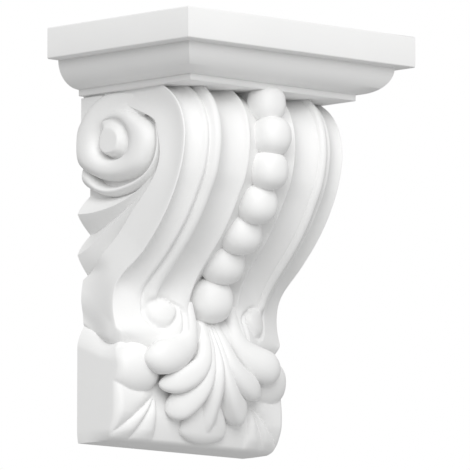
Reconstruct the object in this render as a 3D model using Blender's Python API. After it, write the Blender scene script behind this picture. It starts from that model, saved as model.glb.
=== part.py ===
"""A cast scroll corbel: moulded shelf, beaded S-scroll with side volutes, and an acanthus leaf over its foot.

Metres, +Z up. The wall is the plane y = 0 behind the corbel, which faces -Y.
The origin is the middle of the back face.
The carving is drawn in parts: 220 parts make the whole height, so it keeps its proportions at any height.
A place in it is (x, out, up): across from the middle, out from the wall, up from the underside.
"""
import bmesh
import bpy
import numpy as np

# Overall sizes, and one part of the height
HEIGHT = 0.220
SHELF_WIDTH = 0.165
SHELF_DEPTH = 0.110
PARTS_HIGH = 220
PART = HEIGHT / PARTS_HIGH

# Shelf moulding, from the top down
FASCIA_HEIGHT = 0.0168
FASCIA_EASE = 0.0010
SOFFIT_STEP = 0.0078
OVOLO_OUT = 0.0147
OVOLO_DROP = 0.0144
FILLET_HEIGHT = 0.0034
SOFFIT_FALL = 0.0004

# Scroll, across the arrises above and at its heel, and the ground of its side carving
SCROLL_WIDTH = 114 * PART
HEEL_WIDTH = 119 * PART
GROUND_WIDTH = 103 * PART
CORNER_WIDTH = 116.2 * PART

# Front section above the heel: rise of the bead strip over the arrises, depth of the strip's hollow, and the
# mouldings beside it as (place, reach, rise), their place and reach as shares of the half width
STRIP_RISE = 4.6
STRIP_HOLLOW = -2.0
STRIP_INSIDE = 0.94
FLUTE = (0.452, 0.146, -4.2)
RIB = (0.664, 0.060, 2.7)
GROOVE = (0.745, 0.022, -1.3)
CAVETTO = (0.885, 0.095, -1.5)
ACROSS_FRONT = [0.37, 0.452, 0.535, 0.606, 0.624, 0.664, 0.706, 0.745, 0.776, 0.86, 1.0]
# The heel swells in the middle and falls away at its sides
HEEL_RISE = 5.5
HEEL_FALL = -9.5
UNDER_HEEL_IN = 3.0
ARRIS_UNDER_HEEL_IN = 10.0
ARRIS_EASE = 0.6

# Beads and the strip they lie in
BEAD_COUNT = 7
TOP_BEAD_RADIUS = 10.4 * PART
FOOT_BEAD_RADIUS = 11.9 * PART
BEAD_STRIP_WIDTH = 33.2 * PART
BEAD_SPREAD = 0.07

# Side volutes, over the ground, and front eyes
VOLUTE_RISE = 10.2 * PART
VOLUTE_EYE_RISE = 9.5 * PART
FRONT_EYE_RADIUS = 9.7 * PART
FRONT_EYE_RISE = 6.5 * PART

# Foot block
FOOT_WIDTH = 120.8 * PART
FOOT_DEPTH = 35 * PART

# Leaf, with how much deeper a lobe's hidden root is than its face
LOBE_RISE = 5.5 * PART
ROOT_DEEPER = 2.0

PAINT_COLOUR = (0.86, 0.86, 0.85, 1.0)
PAINT_ROUGHNESS = 0.62

PAST_WALL = 0.003
MERGE = 0.000001
FLAT_WITHIN = 0.5
SHARP_FROM = 40
ORIGIN_UP = HEIGHT / 2
BODY_TOP = HEIGHT - FASCIA_HEIGHT - OVOLO_DROP - FILLET_HEIGHT
GROUND = GROUND_WIDTH / 2 / PART

# Front line of the scroll, (out, up), from inside the shelf to inside the foot
FRONT_LINE = [(46, 197.5), (57, 189), (71, 180), (80.3, 165), (80.3, 147), (70.6, 126.5), (56.6, 107.5),
              (40.5, 90.5), (32.8, 76), (33.6, 65), (35.2, 57), (30, 50.3), (18, 50.8), (-2, 64.5)]
# Back line of the scroll's side band, point for point beside the front line
BACK_LINE = [(30, 192), (38, 184), (46, 176), (59, 165), (63.2, 150), (56.5, 135), (41, 120.5),
             (20, 102), (-1, 87), (-3.5, 84.5), (-4, 82.5), (-4, 81), (-4, 79.5), (-4, 78)]

# Middle of the side volute's band, (out, up), with its half width
VOLUTE_LINE = [(60, 173, 3.0), (42, 178.5, 4.6), (25, 179.3, 5.0), (12.5, 175.5, 6.0), (5.2, 168, 6.8),
               (4.3, 160, 6.8), (7.6, 152, 6.0), (15, 146.3, 5.4), (25, 143.7, 5.2), (37, 143.6, 5.4),
               (47, 146.6, 6.4), (52.9, 152, 7.0), (53.4, 158.5, 7.0), (49.6, 165.2, 5.6), (42.5, 169.6, 3.9),
               (33.5, 171.6, 2.5), (25, 170.4, 2.0), (18.6, 167, 1.6), (15.6, 162, 1.2)]
VOLUTE_EYE = (24.8, 158.2)
VOLUTE_EYE_RADII = (13.0, 8.6)
# How far the band sinks where it leaves the scroll and where it ends
VOLUTE_SINKS = (4.0, 2.5)

# Front eye, (x, up), how it slopes back away from the middle, and the ring that curls round it:
# turn about the eye in degrees, outer radius
FRONT_EYE = (33.8, 69.3)
FRONT_EYE_OUT = 34.5
EYE_SLOPE = 0.36
RING_INNER = 10.4
RING_OUT = 36.2
RING_RISE = 2.2
RING_OUTER = [(150, 13.5), (200, 17.5), (240, 16.6), (270, 15.3), (310, 15.6), (345, 15.4), (380, 13.0),
              (405, 10.8)]

# Sepals in the fork between volute and scroll: ridge (x, out, up) and half width
SEPALS = [
    [(56.5, -2, 141, 1.8), (57.5, 7, 135.6, 2.3), (58, 17, 132.8, 2.7), (58, 28, 132, 2.6),
     (57.8, 39, 133.6, 2.4), (57.6, 48, 137.8, 2.2), (57.4, 54.6, 144, 1.8), (57.2, 58.6, 152, 1.3),
     (57.0, 59, 161, 1.0)],
    [(60.2, -2, 122.3, 8.5), (59.9, 8, 121.9, 8.0), (59.4, 18, 122.6, 7.0), (58.6, 29, 124.4, 5.5),
     (57.6, 39, 127.6, 4.0), (56.6, 48, 132.6, 2.4)],
    [(60.2, -2, 98.4, 9.5), (59.8, 6, 102, 8.8), (59.0, 16, 108.5, 7.2), (58.0, 28, 116.5, 5.2),
     (57.0, 38, 123.0, 3.6), (56.2, 46, 128, 2.2)],
]

# Leaf lobes over the foot, on the right: middle line (x, out, up) and half width
LOBES = [
    [(10, 33, 69, 3.5), (13, 36.5, 60, 5.0), (20, 39.5, 50.5, 7.6), (30, 40.6, 45, 9.2),
     (40, 38.5, 43.2, 8.6), (48.5, 34.5, 42.8, 6.0)],
    [(4, 33, 69, 2.8), (7, 40.5, 54, 3.6), (11.5, 43.6, 42.5, 5.0), (20, 42.5, 35.5, 6.4),
     (29, 38.5, 31.5, 6.0), (38, 33, 27.5, 4.0)],
    [(2, 33, 69, 2.4), (3.5, 42, 51, 3.0), (6.5, 43.8, 36, 4.0), (12, 40.5, 26, 5.2), (19.5, 35.5, 19.8, 5.4),
     (28, 29, 13.5, 4.0)],
]
MIDDLE_LOBE = [(0, 33, 69, 2.6), (0, 40.4, 53, 3.5), (0, 44.5, 41, 4.0), (0, 42.0, 29, 6.0),
               (0, 35, 18, 11.0), (0, 29.6, 9.5, 13.0), (0, 26.0, 2.6, 9.0)]
BELLY = (0, 32.7, 42.5)
BELLY_RADII = (32, 9.2, 23)
# Low lobes of the leaf behind, on the foot block, on the right
GROUND_LOBES = [
    [(36, 30, 36, 5.0), (43, 32, 37.5, 8.0), (51, 32, 37.5, 8.8), (57, 29.5, 37, 7.0)],
    [(35, 33.5, 27, 1.5), (44, 33.2, 24, 6.0), (53, 31.8, 20, 10.0), (58.5, 29.0, 17, 11.5)],
    [(34.5, 34, 26, 1.2), (40, 33.7, 19, 4.0), (46, 32.0, 11, 6.4), (51, 27.0, 4.5, 7.6)],
    [(33.5, 34.2, 26, 1.2), (34, 34, 18, 3.6), (34.5, 32.5, 10, 5.4), (35, 27.5, 3.5, 6.6)],
]
GROUND_LOBE_RISES = [1.25, 0.48, 0.42, 0.38]

# Foot block, from the bottom up: share of its height, and how far the front and the sides ease in there
FOOT_ROWS = [(0, 11, 0.6), (0.024, 7.5, 0.2), (0.07, 4.4, 0), (0.16, 2.0, 0), (0.28, 0.5, 0), (0.42, 0, 0),
             (0.6, 0, 0.2), (0.78, 0.4, 0.5), (0.9, 1.2, 1.1), (1.0, 3.0, 2.8)]
# From the wall round to the middle: how far in from the side and from the front, height of the top there, and
# the shares of the side's and the front's ease that it takes; the first one reaches past the wall
FOOT_COLUMNS = [(0, 0, 64, 1, 0), (0, 24, 58, 1, 0), (0, 15, 53.2, 1, 0), (0.4, 8.4, 50.6, 1, 0.6),
                (1.4, 5.6, 49.6, 0.8, 0.85), (5.0, 3.4, 49, 0.5, 1), (17, 1.4, 48.5, 0, 1),
                (34, 0.3, 48, 0, 1)]

LINE_STEPS = 28
VOLUTE_STEPS = 29
LOBE_STEPS = 8
OVOLO_STEPS = 6


def spline(points, count):
    """Evenly spaced points on a natural cubic curve; the curve's place is all but a trailing half width."""
    points = np.array(points, dtype=float)
    size, width = points.shape
    place = {2: 2, 3: 2, 4: 3}[width]
    knots = run_length(points[:, :place])
    step = np.diff(knots)
    system = np.eye(size)
    slopes = np.zeros_like(points)
    for i in range(1, size - 1):
        system[i, i - 1:i + 2] = step[i - 1], 2 * (step[i - 1] + step[i]), step[i]
        slopes[i] = 6 * ((points[i + 1] - points[i]) / step[i] - (points[i] - points[i - 1]) / step[i - 1])
    bend = np.linalg.solve(system, slopes)

    def evaluate(at):
        i = np.clip(np.searchsorted(knots, at) - 1, 0, size - 2)
        after = ((at - knots[i]) / step[i])[:, None]
        before = 1 - after
        curve = (before ** 3 - before) * bend[i] + (after ** 3 - after) * bend[i + 1]
        return before * points[i] + after * points[i + 1] + curve * step[i][:, None] ** 2 / 6

    fine = np.linspace(0, knots[-1], 40 * size)
    length = run_length(evaluate(fine)[:, :place])
    return evaluate(np.interp(np.linspace(0, length[-1], count), length, fine))


def run_length(points):
    """Length along a path up to each of its points."""
    return np.concatenate([[0.0], np.cumsum(np.linalg.norm(np.diff(points, axis=0), axis=1))])


def outer_side(path):
    """Unit vectors square to a downward path in the (out, up) plane, on its outer side."""
    tangent = np.gradient(path, axis=0)
    tangent /= np.linalg.norm(tangent, axis=1)[:, None]
    return np.stack([-tangent[:, 1], tangent[:, 0]], axis=1)


def ease(value, low, high):
    """Smooth step from 0 at low to 1 at high."""
    share = np.clip((value - low) / (high - low), 0, 1)
    return share * share * (3 - 2 * share)


def world(parts):
    """Parts (x, out, up) to metres."""
    parts = np.asarray(parts, dtype=float) * PART
    return np.stack([parts[..., 0], -parts[..., 1], parts[..., 2] - ORIGIN_UP], axis=-1)


def loft(name, loops, collection):
    """A closed solid through closed loops of points, (loop, point, xyz), capped at both ends."""
    count, size = loops.shape[:2]
    faces = [[a * size + i, a * size + (i + 1) % size, (a + 1) * size + (i + 1) % size, (a + 1) * size + i]
             for a in range(count - 1) for i in range(size)]
    faces.append(list(range(size))[::-1])
    faces.append([(count - 1) * size + i for i in range(size)])
    mesh = bpy.data.meshes.new(name)
    mesh.from_pydata(loops.reshape(-1, 3), [], faces)
    shell = bmesh.new()
    shell.from_mesh(mesh)
    bmesh.ops.triangulate(shell, faces=shell.faces)
    bmesh.ops.recalc_face_normals(shell, faces=shell.faces)
    if shell.calc_volume(signed=True) < 0:
        bmesh.ops.reverse_faces(shell, faces=shell.faces)
    shell.to_mesh(mesh)
    shell.free()
    mesh.shade_smooth()
    mesh.set_sharp_from_angle(angle=np.radians(SHARP_FROM))
    item = bpy.data.objects.new(name, mesh)
    collection.objects.link(item)
    return item


def dome(name, centre, radii, collection, around, rings=6, fullness=1.0, slope=0.0):
    """An ellipsoid in metres with its poles along X. Below a fullness of 1 its top is flatter."""
    turn = np.linspace(0, 2 * np.pi, around, endpoint=False)
    fall = np.linspace(0.12, np.pi - 0.12, rings)[:, None]
    reach = np.sin(fall) ** fullness
    across = np.cos(fall) * radii[0] + 0 * turn
    loops = np.stack([
        across,
        reach * np.cos(turn) * radii[1] + slope * across,
        reach * np.sin(turn) * radii[2]], axis=-1)
    return loft(name, loops + np.array(centre), collection)


def shelf(collection):
    """The moulded shelf: fascia, soffit step, ovolo and fillet, mitred round three sides."""
    turn = np.linspace(0, np.pi / 2, OVOLO_STEPS + 1)
    soffit_up = HEIGHT - FASCIA_HEIGHT
    fillet_in = SOFFIT_STEP + OVOLO_OUT
    section = [(FASCIA_EASE, HEIGHT), (0, HEIGHT - FASCIA_EASE), (0, soffit_up + FASCIA_EASE),
               (FASCIA_EASE, soffit_up), (SOFFIT_STEP, soffit_up - SOFFIT_FALL)]
    section += [(fillet_in - OVOLO_OUT * np.cos(t), soffit_up - OVOLO_DROP * np.sin(t)) for t in turn[1:]]
    section.append((fillet_in, BODY_TOP))
    loops = []
    for inset, up in section:
        side = SHELF_WIDTH / 2 - inset
        front = inset - SHELF_DEPTH
        loops.append([(-side, PAST_WALL, up), (side, PAST_WALL, up), (side, front, up), (-side, front, up)])
    return loft("corbel", np.array(loops) - np.array([0, 0, ORIGIN_UP]), collection)


def dip(share, middle, reach):
    """A shallow hollow: 1 at its middle, falling as a parabola to 0 at its edges."""
    return np.clip(1 - ((share - middle) / reach) ** 2, 0, None)


def front_relief(share, carved, at_heel):
    """Rise of the front over its line at a share of the half width: strip, flute, rib, groove and cavetto."""
    strip = BEAD_STRIP_WIDTH / SCROLL_WIDTH
    swell = HEEL_RISE + HEEL_FALL * ease(share, 0.25, 1.05)
    base = (1 - at_heel) * STRIP_RISE * (1 - share ** 3) + at_heel * swell
    carving = STRIP_HOLLOW * dip(share, 0, strip * STRIP_INSIDE)
    for place, reach, rise in (FLUTE, GROOVE, CAVETTO):
        carving = carving + rise * dip(share, place, reach)
    place, reach, rise = RIB
    carving = carving + rise * np.sqrt(dip(share, place, reach))
    return base + carved * carving


def scroll_lines(count):
    """Front line, its outer side, and the way back from it to the side band's back line."""
    line = spline(FRONT_LINE, count)
    fine = spline(FRONT_LINE, 400)
    knots = run_length(fine)
    marks = [knots[np.argmin(np.linalg.norm(fine - point, axis=1))] for point in FRONT_LINE]
    at = np.linspace(0, knots[-1], count)
    back = np.stack([np.interp(at, marks, np.array(BACK_LINE, dtype=float)[:, k]) for k in (0, 1)], axis=1)
    return line, outer_side(line), back - line


def scroll(collection):
    """The S-scroll: its front section is carried down the front line, with a band down each side."""
    line, normal, back = scroll_lines(LINE_STEPS)
    up = line[:, 1:]
    at_heel = ease(-up, -100, -78)
    carved = ease(up, 60, 78)
    under = np.clip((62 - up) / 10, 0, 1) ** 1.5
    half = (SCROLL_WIDTH + (HEEL_WIDTH - SCROLL_WIDTH) * at_heel) / 2 / PART - UNDER_HEEL_IN * under
    arris = half - ARRIS_EASE - ARRIS_UNDER_HEEL_IN * under
    strip = BEAD_STRIP_WIDTH / SCROLL_WIDTH
    share = np.array([0, strip * 0.6, strip * STRIP_INSIDE, strip * 1.03, *ACROSS_FRONT])
    rise = front_relief(share, carved, at_heel)
    front = line[:, None] + rise[..., None] * normal[:, None]

    turn = np.linspace(0, np.pi / 2, 4)[1:]
    deep = np.linalg.norm(back, axis=1)[:, None]
    edge = half - arris
    edge_x = arris + edge * np.sin(turn)
    edge_share = np.minimum((1.0 + edge) / deep, 0.4) * (1 - np.cos(turn))
    corner = front[:, -1:] + edge_share[..., None] * back[:, None]

    side_x = half + np.array([-0.8, 0.4, 0.1])
    side = line[:, None] + back[:, None] * np.array([0.5, 0.92, 1.0])[:, None]
    inner_x = np.array([GROUND - 3, 0.0]) + 0 * half
    inner = np.repeat(side[:, -1:], 2, axis=1)

    x = np.concatenate([share * arris, edge_x, side_x, inner_x], axis=1)
    out_up = np.concatenate([front, corner, side, inner], axis=1)
    right = np.concatenate([x[..., None], out_up], axis=-1)
    left = (right * np.array([-1.0, 1.0, 1.0]))[:, 1:-1][:, ::-1]
    loft("scroll", world(np.concatenate([right, left], axis=1)), collection)


def plate(name, outline, width, collection):
    """A flat plate across the corbel: an (out, up) outline in parts, to its full width in metres."""
    outline = np.array(outline, dtype=float)
    half = width / 2 / PART
    loops = [np.column_stack([np.full(len(outline), x), outline]) for x in (-half, half)]
    loft(name, world(loops), collection)


def core(collection):
    """The plain middle behind the scroll, whose sides are the ground of the carving, and the top corner."""
    line, _, back = scroll_lines(LINE_STEPS)
    middle = line + 0.5 * back
    middle = middle[(middle[:, 0] > 6) & (middle[:, 1] > 72)]
    plate("core", [(-3, middle[0, 1]), *middle, (-3, middle[-1, 1])], GROUND_WIDTH, collection)
    plate("corner", [(-3, 172), (22, 174), (44, 181), (50, 190), (-3, 190)], CORNER_WIDTH, collection)


def side_volutes(collection):
    """The coiled band and its domed eye, on both sides."""
    path = spline(VOLUTE_LINE, VOLUTE_STEPS)
    share = np.linspace(0, 1, VOLUTE_STEPS)[:, None]
    sink = VOLUTE_SINKS[0] * ease(-share, -0.25, 0) + VOLUTE_SINKS[1] * ease(share, 0.75, 1)
    rise = VOLUTE_RISE / PART - sink
    turn = np.linspace(0, np.pi, 6)
    reach = path[:, 2:] * np.cos(turn)
    x = GROUND - 2 + (rise + 2) * np.sin(turn) ** 0.5
    out_up = path[:, None, :2] + reach[..., None] * outer_side(path[:, :2])[:, None]
    loft("volute", world(np.concatenate([x[..., None], out_up], axis=-1)), collection)
    out, up = VOLUTE_EYE_RADII
    dome("volute_eye", world((GROUND, *VOLUTE_EYE)), (VOLUTE_EYE_RISE, out * PART, up * PART), collection,
         around=16, fullness=0.6)


def sepals(collection):
    """The overlapping sepals in the fork between volute and scroll, as blades on the ground."""
    offset = np.array([1.0, 0.55, 0.0, -0.55, -1.0, 0.0])
    height = np.array([0.0, 0.62, 1.0, 0.62, 0.0, -0.25])
    for points in SEPALS:
        ridge = spline(points, LOBE_STEPS)
        x = GROUND - 1 + (ridge[:, :1] - GROUND + 1) * height
        out_up = ridge[:, None, 1:3] + (ridge[:, 3:] * offset)[..., None] * outer_side(ridge[:, 1:3])[:, None]
        loft("sepal", world(np.concatenate([x[..., None], out_up], axis=-1)), collection)


def beads(collection):
    """The string of beads down the middle, growing towards the foot."""
    line, normal, _ = scroll_lines(400)
    line = line + 5.0 * normal
    line = line[(line[:, 1] < 180) & (line[:, 1] > 77)]
    length = run_length(line)
    for share in np.linspace(0, 1, BEAD_COUNT):
        run = length[-1] * share * (1 + BEAD_SPREAD * (share - 1))
        at = [np.interp(run, length, line[:, k]) for k in (0, 1)]
        radius = TOP_BEAD_RADIUS + (FOOT_BEAD_RADIUS - TOP_BEAD_RADIUS) * share
        dome("bead", world((0, *at)), (radius, radius, radius), collection, around=12)
    plate("bead_pad", [(60, 190), (80, 190), (80, 180), (66, 176)], TOP_BEAD_RADIUS, collection)


def front_eyes(collection):
    """The domed eyes at the scroll's foot, each with the ring that curls round it."""
    turns, radii = np.array(RING_OUTER, dtype=float).T
    turns = np.radians(turns)
    along = np.linspace(turns[0], turns[-1], 13)
    outer = np.interp(along, turns, radii)
    x, up = FRONT_EYE
    around = np.linspace(0, 2 * np.pi, 6, endpoint=False)
    half_width = np.maximum((outer - RING_INNER) / 2, 0.6)[:, None]
    radius = ((RING_INNER + outer) / 2)[:, None] + half_width * np.cos(around)
    ring_x = x - radius * np.cos(along)[:, None]
    ring_up = up + radius * np.sin(along)[:, None]
    ring_out = RING_OUT - EYE_SLOPE * (ring_x - x) + RING_RISE * np.sin(around)
    loft("ring", world(np.stack([ring_x, ring_out, ring_up], axis=-1)), collection)
    radii = (FRONT_EYE_RADIUS, FRONT_EYE_RISE, FRONT_EYE_RADIUS)
    dome("front_eye", world((x, FRONT_EYE_OUT, up)), radii, collection, around=12, slope=EYE_SLOPE)


def foot(collection):
    """The foot block, flat below and at the wall; its top follows the heel and turns in under it."""
    half = FOOT_WIDTH / 2 / PART
    deep = FOOT_DEPTH / PART
    share_up, front_ease, side_ease = np.array(FOOT_ROWS).T[..., None]
    side_in, front_in, top_up, take_side, take_front = np.array(FOOT_COLUMNS, dtype=float).T
    front_in[0] = deep + PAST_WALL / PART
    x = half - side_in - side_ease * take_side
    out = deep - front_in - front_ease * take_front
    up = share_up * top_up
    right = np.stack([x, out, up], axis=-1)
    cover = right[-1:] * np.array([0.7, 0.6, 0]) + np.array([0, -1, 66])
    right = np.concatenate([right, cover])
    left = (right * np.array([-1.0, 1.0, 1.0]))[:, ::-1]
    loft("foot", world(np.concatenate([right, left], axis=1)), collection)


def lobe(points, rise):
    """A rounded lobe along its middle line, thickest in the middle and drawn in to a blunt tip, in parts."""
    path = spline(points, 60)
    share = 1 - (1 - np.linspace(0, 1, LOBE_STEPS)) ** 1.35
    path = np.stack([np.interp(share, np.linspace(0, 1, 60), path[:, k]) for k in range(4)], axis=1)
    tangent = np.gradient(path[:, :3], axis=0)
    tangent /= np.linalg.norm(tangent, axis=1)[:, None]
    outward = np.array([0.25 if path[-1, 0] else 0.0, 1.0, 0.0])
    outward = outward - tangent * (tangent @ outward)[:, None]
    outward /= np.linalg.norm(outward, axis=1)[:, None]
    beside = np.cross(tangent, outward)
    tip = np.sqrt(np.clip(1 - (np.clip(share - 0.8, 0, 1) / 0.205) ** 2, 0.01, 1))[:, None]
    width = path[:, 3:] * tip
    height = LOBE_RISE / PART * rise * (0.55 + 0.45 * path[:, 3:] / path[:, 3].max()) * tip
    turn = np.linspace(0, 2 * np.pi, 8, endpoint=False)
    lift = np.sin(turn)
    lift[lift < 0] *= ROOT_DEEPER
    return (path[:, None, :3] + beside[:, None] * (width * np.cos(turn))[..., None]
            + outward[:, None] * (height * lift)[..., None])


def leaf(collection):
    """The acanthus leaf: three lobes a side and a middle lobe over a low belly, and the lobes behind."""
    for points in LOBES:
        loft("lobe", world(lobe(points, 1.0)), collection)
    for points, rise in zip(GROUND_LOBES, GROUND_LOBE_RISES):
        loft("ground_lobe", world(lobe(points, rise)), collection)
    loft("middle_lobe", world(lobe(MIDDLE_LOBE, 1.0)), collection)
    dome("belly", world(BELLY), np.array(BELLY_RADII) * PART, collection, around=10, rings=6)


def paint():
    """Matt white finish."""
    material = bpy.data.materials.new("white_paint")
    material.use_nodes = True
    shader = material.node_tree.nodes["Principled BSDF"]
    shader.inputs["Base Color"].default_value = PAINT_COLOUR
    shader.inputs["Roughness"].default_value = PAINT_ROUGHNESS
    shader.inputs["Metallic"].default_value = 0.0
    return material


def hide_as_guide(item):
    """A shape that only feeds a Boolean is a guide."""
    item.hide_render = True
    item.display_type = "WIRE"


def combine(body, item, operation):
    """Join a shape to the body, or cut it away."""
    step = body.modifiers.new(item.name, "BOOLEAN")
    step.operation = operation
    step.object = item
    step.solver = "EXACT"


def main():
    for item in list(bpy.data.objects):
        bpy.data.objects.remove(item)
    scene = bpy.context.scene.collection
    carving = bpy.data.collections.new("carving")
    scene.children.link(carving)

    corbel = shelf(scene)
    corbel.data.materials.append(paint())
    for build in (scroll, core, side_volutes, sepals, beads, front_eyes, foot, leaf):
        build(carving)

    behind = np.array([(-200, 0, -90), (-200, -40, -90), (-200, -40, 310), (-200, 0, 310)], dtype=float)
    wall = loft("wall", world(np.stack([behind, behind * np.array([-1, 1, 1])])), scene)
    for item in (*carving.objects, wall):
        hide_as_guide(item)

    for item in carving.objects:
        combine(corbel, item, "UNION")
    combine(corbel, wall, "DIFFERENCE")
    mirror = corbel.modifiers.new("left like right", "MIRROR")
    mirror.use_axis = (True, False, False)
    mirror.use_bisect_axis = (True, False, False)
    mirror.bisect_threshold = MERGE
    mirror.merge_threshold = MERGE
    flat = corbel.modifiers.new("one face where flat", "DECIMATE")
    flat.decimate_type = "DISSOLVE"
    flat.angle_limit = np.radians(FLAT_WITHIN)


if __name__ == "__main__":
    main()
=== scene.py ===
"""Looks for a cast scroll corbel in matt white primer: the casting as one fine surface over its solid.

Metres, +Z up, the wall at y = 0 behind the corbel, which faces -Y.
The carving is drawn in parts: 220 parts make the whole height. A place in it is (x, out, up): across from
the middle, out from the wall, up from the underside. The right half counts, and a mirror gives the left.
"""

import bmesh
import bpy
import numpy as np
from mathutils import Matrix, Vector


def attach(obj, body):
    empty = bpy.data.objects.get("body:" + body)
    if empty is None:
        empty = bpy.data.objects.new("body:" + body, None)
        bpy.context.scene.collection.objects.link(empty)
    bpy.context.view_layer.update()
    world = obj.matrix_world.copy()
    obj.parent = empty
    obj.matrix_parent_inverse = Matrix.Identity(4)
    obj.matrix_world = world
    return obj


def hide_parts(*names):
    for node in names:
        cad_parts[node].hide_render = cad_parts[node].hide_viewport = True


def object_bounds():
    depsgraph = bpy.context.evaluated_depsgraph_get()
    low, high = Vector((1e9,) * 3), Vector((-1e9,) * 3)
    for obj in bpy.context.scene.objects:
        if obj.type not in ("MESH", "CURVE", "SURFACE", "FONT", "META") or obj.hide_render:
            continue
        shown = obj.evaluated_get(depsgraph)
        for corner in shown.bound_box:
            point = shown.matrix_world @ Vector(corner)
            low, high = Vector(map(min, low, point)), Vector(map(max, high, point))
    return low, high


bl_info = {
    "name": "Scroll corbel",
    "version": (1, 0, 0),
    "blender": (4, 5, 0),
    "location": "View3D > Sidebar > Corbel",
    "description": "Builds a cast scroll corbel in matt white primer, with its stage",
    "category": "Object",
}

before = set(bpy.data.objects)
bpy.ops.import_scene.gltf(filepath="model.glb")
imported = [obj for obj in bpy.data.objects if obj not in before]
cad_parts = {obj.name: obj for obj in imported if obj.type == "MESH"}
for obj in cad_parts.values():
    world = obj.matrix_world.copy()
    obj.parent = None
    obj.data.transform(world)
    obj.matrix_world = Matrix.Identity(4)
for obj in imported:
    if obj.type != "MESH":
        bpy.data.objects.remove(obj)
CAD_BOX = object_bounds()
HEIGHT = CAD_BOX[1].z - CAD_BOX[0].z
PARTS_HIGH = 220.0
PART = HEIGHT / PARTS_HIGH
# How far shells run on behind the wall, before they are cut off at it
PAST_WALL = 3.0
# Half the width of the ground behind the side carving, and where the carving starts inside it
GROUND = 51.5
UNDER_GROUND = GROUND - 3

# The scroll's front line, (out, up), from inside the shelf to inside the foot
FRONT_LINE = [
    (46, 197.5), (57, 189), (70.6, 180), (79.2, 165), (78.8, 147), (70.6, 126.5), (56.6, 107.5),
    (40.5, 90.5), (32.8, 76), (33.6, 65), (35.2, 57), (30, 50.3), (18, 50.0), (-2, 61.5),
]
# The back line of its side band, point for point
BACK_LINE = [
    (10, 190), (20, 183), (49.5, 171.2), (58.2, 162.8), (60.6, 150), (53.5, 134.5), (38, 119.5),
    (20, 102), (-1, 87), (-3.5, 84.5), (-4, 82.5), (-4, 81), (-4, 79.5), (-4, 78),
]
# Heights between which the scroll turns into its heel, and between which its carving runs out
HEEL_HEIGHTS = (78, 100)
CARVED_HEIGHTS = (70, 92)

# The crown over the front line: its rise, a swell between its own heights, and where it falls to the line
CROWN_RISE, CROWN_SWELL, CROWN_HALF = 4.6, 1.3, 57
SWELL_UP, SWELL_DOWN = (128, 142), (172, 184)
# The heel's blunt ridge: where it lies, its rise, its fall to both sides, its tilt, and how blunt it is
RIDGE_AT, RIDGE_RISE, RIDGE_FALL, RIDGE_TILT, RIDGE_BLUNT = 21, 9.0, 0.34, 0.04, 6
# The hollow for the last bead and the leaf's root between the two heels
ROOT_HALF, ROOT_DEPTH, ROOT_HEIGHTS = 18, 5.0, (60, 72)
# Mouldings across the front: middle and half width, then rise or depth
STRIP_SHARE, STRIP_DEPTH = 0.98, 3.8
STRIP_EDGE_HALF, STRIP_EDGE_RISE = 1.3, 0.9
FLUTE_END, FLUTE_DEPTH = 35, 4.4
RIB, RIB_RISE, RIB_HEIGHTS = (38.2, 2.8), 3.0, (72, 79)
QUIRK, QUIRK_DEPTH, QUIRK_HEIGHTS = (41.7, 1.3), 1.0, (65, 70)
LIP, LIP_RISE, LIP_HEIGHTS = (44.3, 1.6), 0.7, (74, 86)
CAVETTO, CAVETTO_DEPTH, CAVETTO_DEEPER = (50.7, 5.9), 2.9, 1.6
DEEPER_UP, DEEPER_DOWN = (84, 98), (112, 140)
# Columns across the front, in places that a moulding ends at, and how many there are between them
STRIP_INSIDE, STRIP_OUTSIDE = 1.4, 1.2
MOULDING_ENDS = [33.4, 46.4, 56.6]
MOULDING_COLUMNS = [10, 5, 16, 28, 12]

# The scroll's arris: its inset, and how it curls in under the heel from one height to another
ARRIS_INSET = 0.5
CURL_IN_FROM, CURL_IN_TO, CURL_IN = 74.0, 50.0, 15.0
# The most of the side band that its rounded edge takes, and how deep the band is hollowed
EDGE_SHARE, BAND_HOLLOW = 0.3, 1.1
# Shares of the way back over the side band, and how far its back edge is eased in at each
BAND_SHARES = np.array([0.12, 0.24, 0.38, 0.54, 0.7, 0.84, 0.94, 0.985, 1.0])
BAND_EASE = np.array([0, 0, 0, 0, 0, 0, 0, 0.1, 0.6])
# The heel's side near the wall: its reach out from it, its heights, and a parabola about its widest place
NEAR_WALL, NEAR_WALL_HEIGHTS = 24, (90, 100)
WIDEST_UP, WIDEST_IN, WIDEST_BEND, WIDEST_HALF, DRAWN_IN_MOST = 76, 1.2, 2.0, 12, 9

# Front eye, (x, up), its radius and rise, and the moat that opens to the outside at its foot
FRONT_EYE = (33.9, 68.6)
FRONT_EYE_RADIUS, FRONT_EYE_RISE = 8.4, 3.2
MOAT_AT, MOAT_HALF, MOAT_DEPTH = 0.4, 1.6, 1.2
MOAT_OPENS, MOAT_CLOSES = (5, 30), (75, 100)
# The groove that curls in round it: turn in degrees and radius, half its width, its depth, and its two ends
CURL = [(123, 8.6), (150, 10.0), (170, 11.6), (195, 12.8), (228, 15.1), (262, 16.8)]
CURL_HALF, CURL_DEPTH = 1.5, 1.3
CURL_START, CURL_END = (122, 150), (225, 262)

# Plates behind the scroll: outline (out, up), then half width
CORE_FROM = (6, 72)
CORNER_PLATE = [(-PAST_WALL, 166), (6, 168), (14, 177), (17.5, 182), (16, 184.3), (-PAST_WALL, 184.3)]
CORNER_HALF = 58.2
CROWN_PLATE = [(-PAST_WALL, 176), (25, 176), (48, 175), (52, 190), (-PAST_WALL, 190)]
CROWN_PLATE_HALF = 56.5
BEAD_PAD = [(60, 190), (80, 190), (80, 180), (66, 176)]
BEAD_PAD_HALF = 5.2

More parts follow.
